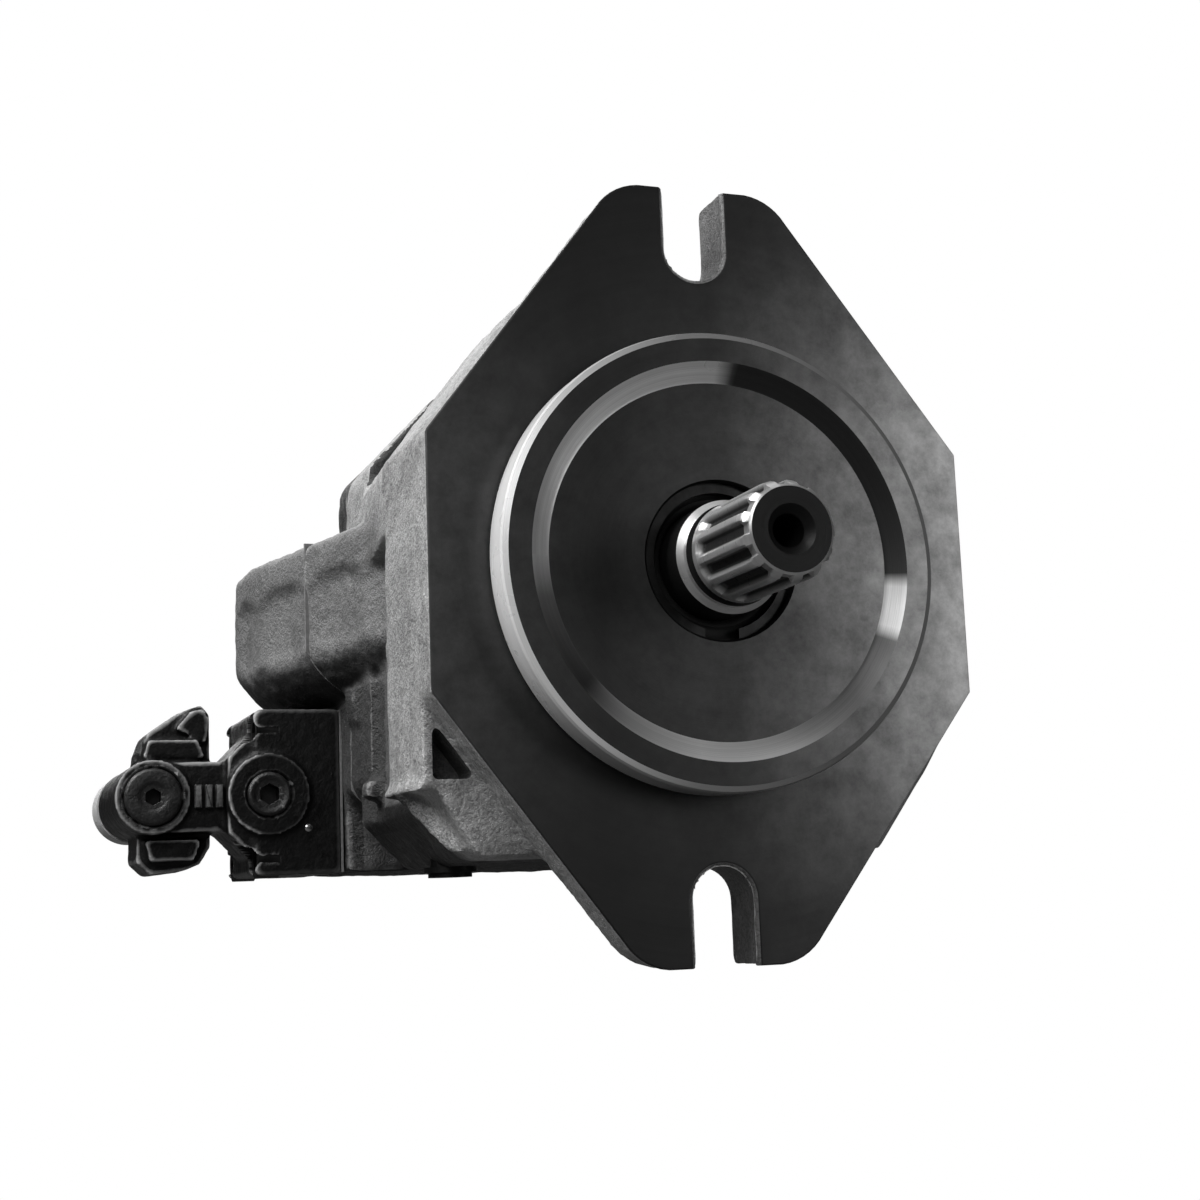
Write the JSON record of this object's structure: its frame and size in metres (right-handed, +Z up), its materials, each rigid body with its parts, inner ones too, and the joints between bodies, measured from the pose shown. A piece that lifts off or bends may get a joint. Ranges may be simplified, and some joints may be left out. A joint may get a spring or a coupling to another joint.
{
  "type": "variable swash-plate axial-piston hydraulic motor",
  "caption": "Variable swash-plate axial-piston hydraulic motor with a two-bolt pilot flange, a splined shaft, rear ports and a two-spool displacement control valve.",
  "frame": {"origin": "on the shaft axis, in the mounting face of the flange, at the foot of the pilot", "axes": "-Y points out of the shaft end and is the way the motor leaves its machine; X runs along the line between the two rear ports, with the control valve on the -X side; +Z is up, along the line of the two mounting slots"},
  "size_m": [0.1912, 0.254, 0.1748],
  "materials": {
    "cast_iron": "rough sand-cast surface with machined faces",
    "black_paint": "black painted cast block",
    "shaft_steel": "bright turned steel, dark end face",
    "dark_steel": "blackened steel",
    "machined_steel": "turned and ground",
    "bearing_steel": "ground and polished",
    "spring_steel": "drawn wire",
    "bronze": "turned bronze",
    "seal_rubber": "smooth nitrile rubber",
    "gasket": "pressed fibre gasket"
  },
  "bodies": {
    "case": {"housing": "cast_iron", "port_block": "cast_iron", "case_gasket": "gasket", "tie_bolts": "dark_steel", "valve_plate": "bronze", "shaft_seal": "seal_rubber", "seal_ring": "dark_steel", "front_bearing_cup": "bearing_steel", "rear_bearing_cup": "bearing_steel", "cradle_shells": "bronze", "valve_body": "black_paint", "valve_gasket": "gasket", "valve_screws": "dark_steel", "valve_plugs": "black_paint", "valve_caps": "black_paint", "lock_nuts": "dark_steel", "drain_plug": "dark_steel", "cover_plate": "black_paint"},
    "shaft": {"drive_shaft": "shaft_steel", "front_bearing_cone": "bearing_steel", "rear_bearing_cone": "bearing_steel", "cylinder_block": "machined_steel", "retainer_hub": "machined_steel", "hub_pins": "bearing_steel", "spring_washers": "machined_steel", "snap_ring": "dark_steel", "block_spring": "spring_steel"},
    "front_rollers": {"front_bearing_rollers": "bearing_steel"},
    "rear_rollers": {"rear_bearing_rollers": "bearing_steel"},
    "swash": {"swash_plate": "machined_steel"},
    "retainer": {"retainer_plate": "machined_steel"},
    "slipper_1_body": {"slipper_1": "bronze"},
    "piston_1_body": {"piston_1": "bearing_steel"},
    "slipper_2_body": {"slipper_2": "bronze"},
    "piston_2_body": {"piston_2": "bearing_steel"},
    "slipper_3_body": {"slipper_3": "bronze"},
    "piston_3_body": {"piston_3": "bearing_steel"},
    "slipper_4_body": {"slipper_4": "bronze"},
    "piston_4_body": {"piston_4": "bearing_steel"},
    "slipper_5_body": {"slipper_5": "bronze"},
    "piston_5_body": {"piston_5": "bearing_steel"},
    "slipper_6_body": {"slipper_6": "bronze"},
    "piston_6_body": {"piston_6": "bearing_steel"},
    "slipper_7_body": {"slipper_7": "bronze"},
    "piston_7_body": {"piston_7": "bearing_steel"},
    "slipper_8_body": {"slipper_8": "bronze"},
    "piston_8_body": {"piston_8": "bearing_steel"},
    "slipper_9_body": {"slipper_9": "bronze"},
    "piston_9_body": {"piston_9": "bearing_steel"},
    "control": {"control_piston": "bearing_steel"},
    "bias": {"bias_piston": "bearing_steel", "bias_spring": "spring_steel"},
    "pressure_spool_body": {"pressure_spool": "bearing_steel", "pressure_spring": "spring_steel"},
    "flow_spool_body": {"flow_spool": "bearing_steel", "flow_spring": "spring_steel"},
    "pressure_seat_body": {"pressure_seat": "machined_steel"},
    "flow_seat_body": {"flow_seat": "machined_steel"},
    "pressure_screw_body": {"pressure_screw": "dark_steel"},
    "flow_screw_body": {"flow_screw": "dark_steel"}
  },
  "joints": [
    {"name": "shaft_spin", "type": "hinge", "parent": "case", "child": "shaft", "pos_m": [0, 0, 0], "axis": [0, 1, 0], "continuous": true},
    {"name": "front_rollers_spin", "type": "hinge", "parent": "case", "child": "front_rollers", "pos_m": [0, 0.0145, 0], "axis": [0, 1, 0], "continuous": true},
    {"name": "rear_rollers_spin", "type": "hinge", "parent": "case", "child": "rear_rollers", "pos_m": [0, 0.13, 0], "axis": [0, 1, 0], "continuous": true},
    {"name": "swash_tilt", "type": "hinge", "parent": "case", "child": "swash", "pos_m": [0, 0.046, 0], "axis": [1, 0, 0], "range_deg": [0, 15]},
    {"name": "plate_spin", "type": "hinge", "parent": "swash", "child": "retainer", "pos_m": [0, 0.046, 0], "axis": [0, 1, 0], "continuous": true},
    {"name": "slipper_1_turn", "type": "hinge", "parent": "retainer", "child": "slipper_1_body", "pos_m": [0, 0.046, 0.0305], "axis": [0, 1, 0], "continuous": true},
    {"name": "piston_1_swivel", "type": "hinge", "parent": "slipper_1_body", "child": "piston_1_body", "pos_m": [0, 0.046, 0.0305], "axis": [1, 0, 0], "range_deg": [-15, 0]},
    {"name": "slipper_2_turn", "type": "hinge", "parent": "retainer", "child": "slipper_2_body", "pos_m": [0.01961, 0.046, 0.02336], "axis": [0, 1, 0], "continuous": true},
    {"name": "piston_2_swivel", "type": "hinge", "parent": "slipper_2_body", "child": "piston_2_body", "pos_m": [0.01961, 0.046, 0.02336], "axis": [1, 0, 0], "range_deg": [-15, 0]},
    {"name": "slipper_3_turn", "type": "hinge", "parent": "retainer", "child": "slipper_3_body", "pos_m": [0.03004, 0.046, 0.0053], "axis": [0, 1, 0], "continuous": true},
    {"name": "piston_3_swivel", "type": "hinge", "parent": "slipper_3_body", "child": "piston_3_body", "pos_m": [0.03004, 0.046, 0.0053], "axis": [1, 0, 0], "range_deg": [-15, 0]},
    {"name": "slipper_4_turn", "type": "hinge", "parent": "retainer", "child": "slipper_4_body", "pos_m": [0.02641, 0.046, -0.01525], "axis": [0, 1, 0], "continuous": true},
    {"name": "piston_4_swivel", "type": "hinge", "parent": "slipper_4_body", "child": "piston_4_body", "pos_m": [0.02641, 0.046, -0.01525], "axis": [1, 0, 0], "range_deg": [-15, 0]},
    {"name": "slipper_5_turn", "type": "hinge", "parent": "retainer", "child": "slipper_5_body", "pos_m": [0.01043, 0.046, -0.02866], "axis": [0, 1, 0], "continuous": true},
    {"name": "piston_5_swivel", "type": "hinge", "parent": "slipper_5_body", "child": "piston_5_body", "pos_m": [0.01043, 0.046, -0.02866], "axis": [1, 0, 0], "range_deg": [-15, 0]},
    {"name": "slipper_6_turn", "type": "hinge", "parent": "retainer", "child": "slipper_6_body", "pos_m": [-0.01043, 0.046, -0.02866], "axis": [0, 1, 0], "continuous": true},
    {"name": "piston_6_swivel", "type": "hinge", "parent": "slipper_6_body", "child": "piston_6_body", "pos_m": [-0.01043, 0.046, -0.02866], "axis": [1, 0, 0], "range_deg": [-15, 0]},
    {"name": "slipper_7_turn", "type": "hinge", "parent": "retainer", "child": "slipper_7_body", "pos_m": [-0.02641, 0.046, -0.01525], "axis": [0, 1, 0], "continuous": true},
    {"name": "piston_7_swivel", "type": "hinge", "parent": "slipper_7_body", "child": "piston_7_body", "pos_m": [-0.02641, 0.046, -0.01525], "axis": [1, 0, 0], "range_deg": [-15, 0]},
    {"name": "slipper_8_turn", "type": "hinge", "parent": "retainer", "child": "slipper_8_body", "pos_m": [-0.03004, 0.046, 0.0053], "axis": [0, 1, 0], "continuous": true},
    {"name": "piston_8_swivel", "type": "hinge", "parent": "slipper_8_body", "child": "piston_8_body", "pos_m": [-0.03004, 0.046, 0.0053], "axis": [1, 0, 0], "range_deg": [-15, 0]},
    {"name": "slipper_9_turn", "type": "hinge", "parent": "retainer", "child": "slipper_9_body", "pos_m": [-0.01961, 0.046, 0.02336], "axis": [0, 1, 0], "continuous": true},
    {"name": "piston_9_swivel", "type": "hinge", "parent": "slipper_9_body", "child": "piston_9_body", "pos_m": [-0.01961, 0.046, 0.02336], "axis": [1, 0, 0], "range_deg": [-15, 0]},
    {"name": "control_piston_slide", "type": "slide", "parent": "case", "child": "control", "axis": [0, 1, 0], "range_m": [0, 0.0134]},
    {"name": "bias_piston_slide", "type": "slide", "parent": "case", "child": "bias", "axis": [0, 1, 0], "range_m": [-0.01309, 0], "deforming": ["bias_spring"]},
    {"name": "pressure_spool_slide", "type": "slide", "parent": "case", "child": "pressure_spool_body", "axis": [0, 1, 0], "range_m": [-0.0015, 0.0025], "deforming": ["pressure_spring"]},
    {"name": "flow_spool_slide", "type": "slide", "parent": "case", "child": "flow_spool_body", "axis": [0, 1, 0], "range_m": [-0.0015, 0.0025], "deforming": ["flow_spring"]},
    {"name": "pressure_screw_turn", "type": "hinge", "parent": "pressure_seat_body", "child": "pressure_screw_body", "pos_m": [-0.075, 0.191, -0.0408], "axis": [0, -1, 0], "range_deg": [0, 1080]},
    {"name": "pressure_seat_slide", "type": "slide", "parent": "case", "child": "pressure_seat_body", "axis": [0, -1, 0], "range_m": [0, 0.00301]},
    {"name": "flow_screw_turn", "type": "hinge", "parent": "flow_seat_body", "child": "flow_screw_body", "pos_m": [-0.105, 0.193, -0.0408], "axis": [0, -1, 0], "range_deg": [0, 1080]},
    {"name": "flow_seat_slide", "type": "slide", "parent": "case", "child": "flow_seat_body", "axis": [0, -1, 0], "range_m": [0, 0.00301]}
  ],
  "couplings": [
    {"joint": "front_rollers_spin", "follows": "shaft_spin", "ratio": 0.45},
    {"joint": "rear_rollers_spin", "follows": "shaft_spin", "ratio": 0.451},
    {"joint": "plate_spin", "follows": "shaft_spin", "ratio": 1},
    {"joint": "slipper_1_turn", "follows": "shaft_spin", "ratio": -1},
    {"joint": "piston_1_swivel", "follows": "swash_tilt", "ratio": -1},
    {"joint": "slipper_2_turn", "follows": "shaft_spin", "ratio": -1},
    {"joint": "piston_2_swivel", "follows": "swash_tilt", "ratio": -1},
    {"joint": "slipper_3_turn", "follows": "shaft_spin", "ratio": -1},
    {"joint": "piston_3_swivel", "follows": "swash_tilt", "ratio": -1},
    {"joint": "slipper_4_turn", "follows": "shaft_spin", "ratio": -1},
    {"joint": "piston_4_swivel", "follows": "swash_tilt", "ratio": -1},
    {"joint": "slipper_5_turn", "follows": "shaft_spin", "ratio": -1},
    {"joint": "piston_5_swivel", "follows": "swash_tilt", "ratio": -1},
    {"joint": "slipper_6_turn", "follows": "shaft_spin", "ratio": -1},
    {"joint": "piston_6_swivel", "follows": "swash_tilt", "ratio": -1},
    {"joint": "slipper_7_turn", "follows": "shaft_spin", "ratio": -1},
    {"joint": "piston_7_swivel", "follows": "swash_tilt", "ratio": -1},
    {"joint": "slipper_8_turn", "follows": "shaft_spin", "ratio": -1},
    {"joint": "piston_8_swivel", "follows": "swash_tilt", "ratio": -1},
    {"joint": "slipper_9_turn", "follows": "shaft_spin", "ratio": -1},
    {"joint": "piston_9_swivel", "follows": "swash_tilt", "ratio": -1},
    {"joint": "control_piston_slide", "follows": "swash_tilt", "m_per_rad": 0.051169},
    {"joint": "bias_piston_slide", "follows": "swash_tilt", "m_per_rad": -0.05},
    {"joint": "pressure_seat_slide", "follows": "pressure_screw_turn", "m_per_rad": 0.00015915},
    {"joint": "flow_seat_slide", "follows": "flow_screw_turn", "m_per_rad": 0.00015915}
  ]
}
